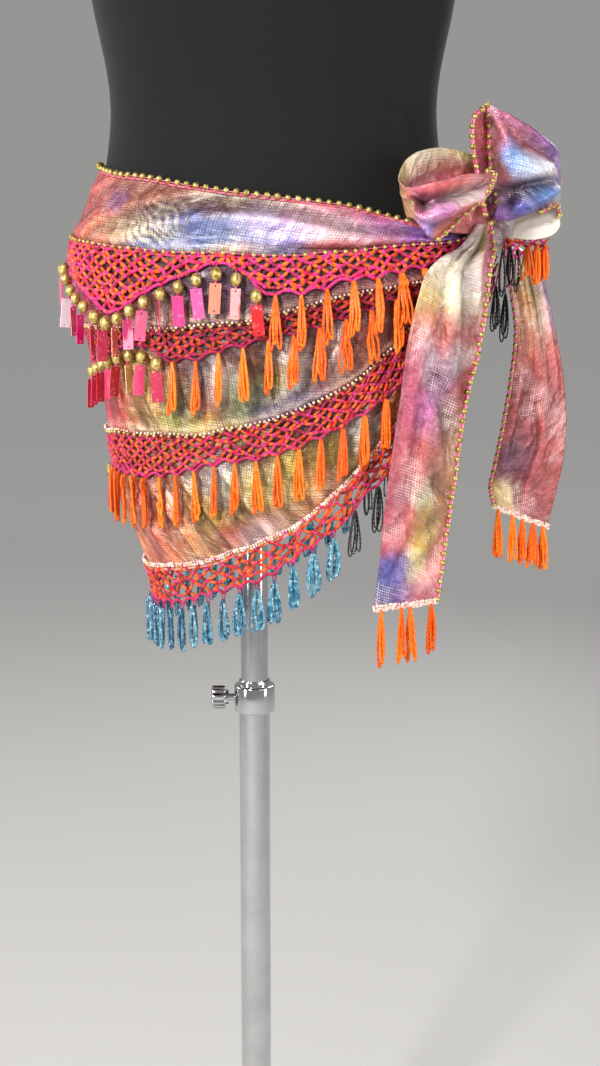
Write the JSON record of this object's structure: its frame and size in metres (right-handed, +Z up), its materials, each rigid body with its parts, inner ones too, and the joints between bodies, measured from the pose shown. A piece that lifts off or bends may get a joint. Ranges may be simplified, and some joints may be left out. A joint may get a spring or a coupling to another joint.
{
  "type": "belly dance hip belt on a dress form stand",
  "caption": "Tie-dyed triangular hip scarf with beaded nets and fringes, knotted in a bow round a limbless dress form on a telescopic pole stand.",
  "frame": {"origin": "centre of the base plate's underside, on the pole's axis", "axes": "+Z up along the pole, -Y to the wearer's front, +X to the viewer's right, where the bow is tied"},
  "size_m": [0.408, 0.32, 1.5023],
  "materials": {
    "scarf_cloth": "silky tie-dyed check weave with a metallic glint",
    "pink_net": "knotted thread net with seed beads",
    "orange_beads": "glossy seed beads on thread",
    "blue_beads": "glossy seed beads on thread",
    "black_beads": "glossy seed beads on thread",
    "gold_beads": "polished gold plating",
    "paillettes": "pearly sequin strip",
    "form_jersey": "fine ribbed jersey",
    "chrome_tube": "polished",
    "black_plate": "fine textured powder coat"
  },
  "bodies": {
    "stand": {"base_plate": "black_plate", "stand_tube": "chrome_tube", "clamp_collar": "chrome_tube"},
    "knob": {"clamp_knob": "chrome_tube"},
    "mast": {"mast_tube": "chrome_tube"},
    "form": {"form_socket": "chrome_tube", "dress_form": "form_jersey", "neck_cap": "black_plate", "cloth_front": "scarf_cloth", "cloth_back": "scarf_cloth", "knot": "scarf_cloth", "bow_loop_left": "scarf_cloth", "bow_loop_right": "scarf_cloth", "tail_front": "scarf_cloth", "tail_back": "scarf_cloth", "net_1_front": "pink_net", "net_1_back": "pink_net", "net_2_front": "pink_net", "net_2_back": "pink_net", "net_3_front": "pink_net", "net_3_back": "pink_net", "net_hem_front": "pink_net", "net_hem_back": "pink_net", "drops_1_front": "paillettes", "drops_1_back": "paillettes", "drops_2_front": "paillettes", "drops_2_back": "paillettes", "drops_3_front": "paillettes", "drops_3_back": "paillettes", "loops_1_front": "orange_beads", "loops_1_back": "orange_beads", "loops_2_front": "orange_beads", "loops_2_back": "orange_beads", "loops_3_front": "orange_beads", "loops_3_back": "orange_beads", "loops_tail_front": "orange_beads", "loops_tail_back": "orange_beads", "loops_hem_blue_front": "blue_beads", "loops_hem_blue_back": "blue_beads", "loops_hem_black_front": "black_beads", "loops_hem_black_back": "black_beads"}
  },
  "joints": [
    {"name": "height_slide", "type": "slide", "parent": "stand", "child": "mast", "axis": [0, 0, 1], "range_m": [-0.16, 0.24]},
    {"name": "form_swivel", "type": "hinge", "parent": "mast", "child": "form", "pos_m": [0, 0, 0.75], "axis": [0, 0, 1], "continuous": true},
    {"name": "clamp_turn", "type": "hinge", "parent": "stand", "child": "knob", "pos_m": [0, 0, 0.556], "axis": [1, 0, 0], "continuous": true}
  ]
}
